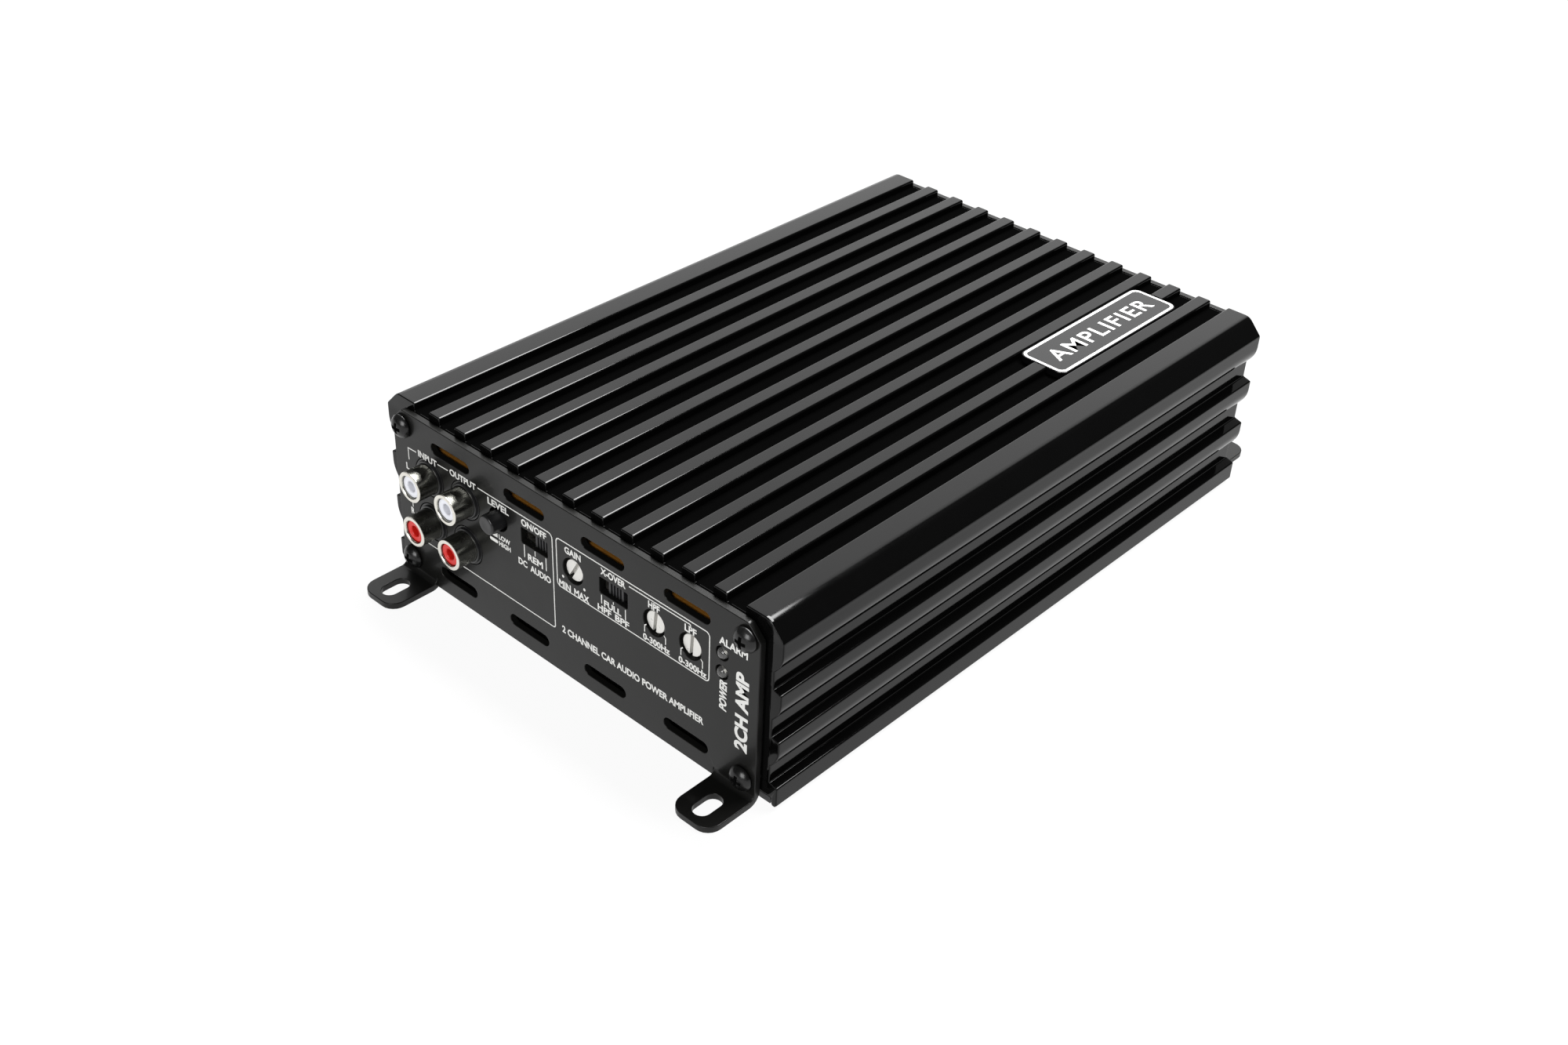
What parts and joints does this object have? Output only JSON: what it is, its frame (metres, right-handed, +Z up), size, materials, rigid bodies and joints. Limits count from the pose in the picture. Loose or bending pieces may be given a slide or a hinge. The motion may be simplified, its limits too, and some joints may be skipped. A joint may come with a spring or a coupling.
{
  "type": "car amplifier",
  "caption": "Low finned black car audio amplifier with phono jacks, slide switches and screwdriver-turned controls on its front plate, terminals and fuses at the rear, and slotted feet.",
  "frame": {"origin": "centre of the bounding box's bottom face, on the plane of the foot undersides", "axes": "+X to the right along the control panel as seen from the front, +Y from the control panel to the rear plate, +Z up"},
  "size_m": [0.1352, 0.2266, 0.0525],
  "materials": {
    "heatsink_black": "satin black anodised extrusion",
    "plate_black": "satin black powder coat",
    "cover_black": "satin black powder coat",
    "black_steel": "glossy black oxide",
    "board_amber": "amber phenolic laminate",
    "jack_metal": "nickel plated",
    "jack_white": "moulded white plastic",
    "jack_red": "moulded red plastic",
    "black_plastic": "moulded black plastic",
    "switch_metal": "plated sheet",
    "shaft_white": "silvery white, satin",
    "clear_lens": "clear epoxy",
    "nickel_steel": "nickel plated",
    "fuse_plastic": "tinted plastic",
    "copper_winding": "enamelled copper wire",
    "capacitor_sleeve": "heat-shrink sleeve",
    "bar_aluminium": "plain mill finish"
  },
  "bodies": {
    "amplifier": {"alarm_led": "clear_lens", "badge_plate": "heatsink_black", "bottom_cover": "cover_black", "clamp_bar_left": "bar_aluminium", "clamp_bar_right": "bar_aluminium", "cover_screw_1": "black_steel", "cover_screw_2": "black_steel", "cover_screw_3": "black_steel", "cover_screw_4": "black_steel", "crossover_switch": "switch_metal", "front_plate": "plate_black", "front_screw_1": "black_steel", "front_screw_2": "black_steel", "front_screw_3": "black_steel", "front_screw_4": "black_steel", "fuse_socket": "black_plastic", "gain_pot": "switch_metal", "heatsink": "heatsink_black", "highpass_pot": "switch_metal", "jack_housing": "black_plastic", "jack_insert_1": "jack_white", "jack_insert_2": "jack_white", "jack_insert_3": "jack_red", "jack_insert_4": "jack_red", "jack_shell_1": "jack_metal", "jack_shell_2": "jack_metal", "jack_shell_3": "jack_metal", "jack_shell_4": "jack_metal", "level_switch": "switch_metal", "lowpass_pot": "switch_metal", "main_board": "board_amber", "mode_switch": "switch_metal", "power_led": "clear_lens", "rear_plate": "plate_black", "rear_screw_1": "black_steel", "rear_screw_2": "black_steel", "rear_screw_3": "black_steel", "rear_screw_4": "black_steel", "storage_capacitor": "capacitor_sleeve", "terminal_block": "black_plastic", "toroid_coil": "copper_winding", "transistor_1": "black_plastic", "transistor_2": "black_plastic", "transistor_3": "black_plastic", "transistor_4": "black_plastic"},
    "level_button": {"level_button": "black_plastic"},
    "mode_lever": {"mode_lever": "black_plastic"},
    "crossover_lever": {"crossover_lever": "black_plastic"},
    "gain_shaft": {"gain_shaft": "shaft_white"},
    "highpass_shaft": {"highpass_shaft": "shaft_white"},
    "lowpass_shaft": {"lowpass_shaft": "shaft_white"},
    "fuse_1": {"fuse_1": "fuse_plastic"},
    "fuse_2": {"fuse_2": "fuse_plastic"},
    "terminal_screw_1": {"terminal_screw_1": "nickel_steel"},
    "terminal_screw_2": {"terminal_screw_2": "nickel_steel"},
    "terminal_screw_3": {"terminal_screw_3": "nickel_steel"},
    "terminal_screw_4": {"terminal_screw_4": "nickel_steel"},
    "terminal_screw_5": {"terminal_screw_5": "nickel_steel"},
    "terminal_screw_6": {"terminal_screw_6": "nickel_steel"},
    "terminal_screw_7": {"terminal_screw_7": "nickel_steel"}
  },
  "joints": [
    {"name": "level_push", "type": "slide", "parent": "amplifier", "child": "level_button", "axis": [0, 1, 0], "range_m": [0, 0.0025]},
    {"name": "mode_slide", "type": "slide", "parent": "amplifier", "child": "mode_lever", "axis": [1, 0, 0], "range_m": [-0.004, 0]},
    {"name": "crossover_slide", "type": "slide", "parent": "amplifier", "child": "crossover_lever", "axis": [1, 0, 0], "range_m": [-0.002, 0.002]},
    {"name": "gain_turn", "type": "hinge", "parent": "amplifier", "child": "gain_shaft", "pos_m": [0.0033, -0.0981, 0.0341], "axis": [0, 1, 0], "range_deg": [-165, 105]},
    {"name": "highpass_turn", "type": "hinge", "parent": "amplifier", "child": "highpass_shaft", "pos_m": [0.0304, -0.0981, 0.0341], "axis": [0, 1, 0], "range_deg": [-141, 129]},
    {"name": "lowpass_turn", "type": "hinge", "parent": "amplifier", "child": "lowpass_shaft", "pos_m": [0.042, -0.0981, 0.0341], "axis": [0, 1, 0], "range_deg": [-139, 131]},
    {"name": "terminal_screw_1_turn", "type": "hinge", "parent": "amplifier", "child": "terminal_screw_1", "pos_m": [-0.0422, 0.1018, 0.028], "axis": [0, 1, 0], "range_deg": [-720, 0]},
    {"name": "terminal_screw_2_turn", "type": "hinge", "parent": "amplifier", "child": "terminal_screw_2", "pos_m": [-0.0328, 0.1018, 0.028], "axis": [0, 1, 0], "range_deg": [-720, 0]},
    {"name": "terminal_screw_3_turn", "type": "hinge", "parent": "amplifier", "child": "terminal_screw_3", "pos_m": [-0.0234, 0.1018, 0.028], "axis": [0, 1, 0], "range_deg": [-720, 0]},
    {"name": "terminal_screw_4_turn", "type": "hinge", "parent": "amplifier", "child": "terminal_screw_4", "pos_m": [-0.014, 0.1018, 0.028], "axis": [0, 1, 0], "range_deg": [-720, 0]},
    {"name": "terminal_screw_5_turn", "type": "hinge", "parent": "amplifier", "child": "terminal_screw_5", "pos_m": [-0.0046, 0.1018, 0.028], "axis": [0, 1, 0], "range_deg": [-720, 0]},
    {"name": "terminal_screw_6_turn", "type": "hinge", "parent": "amplifier", "child": "terminal_screw_6", "pos_m": [0.0048, 0.1018, 0.028], "axis": [0, 1, 0], "range_deg": [-720, 0]},
    {"name": "terminal_screw_7_turn", "type": "hinge", "parent": "amplifier", "child": "terminal_screw_7", "pos_m": [0.0142, 0.1018, 0.028], "axis": [0, 1, 0], "range_deg": [-720, 0]},
    {"name": "fuse_1_pull", "type": "slide", "parent": "amplifier", "child": "fuse_1", "axis": [0, 1, 0], "range_m": [0, 0.017]},
    {"name": "fuse_2_pull", "type": "slide", "parent": "amplifier", "child": "fuse_2", "axis": [0, 1, 0], "range_m": [0, 0.017]}
  ]
}
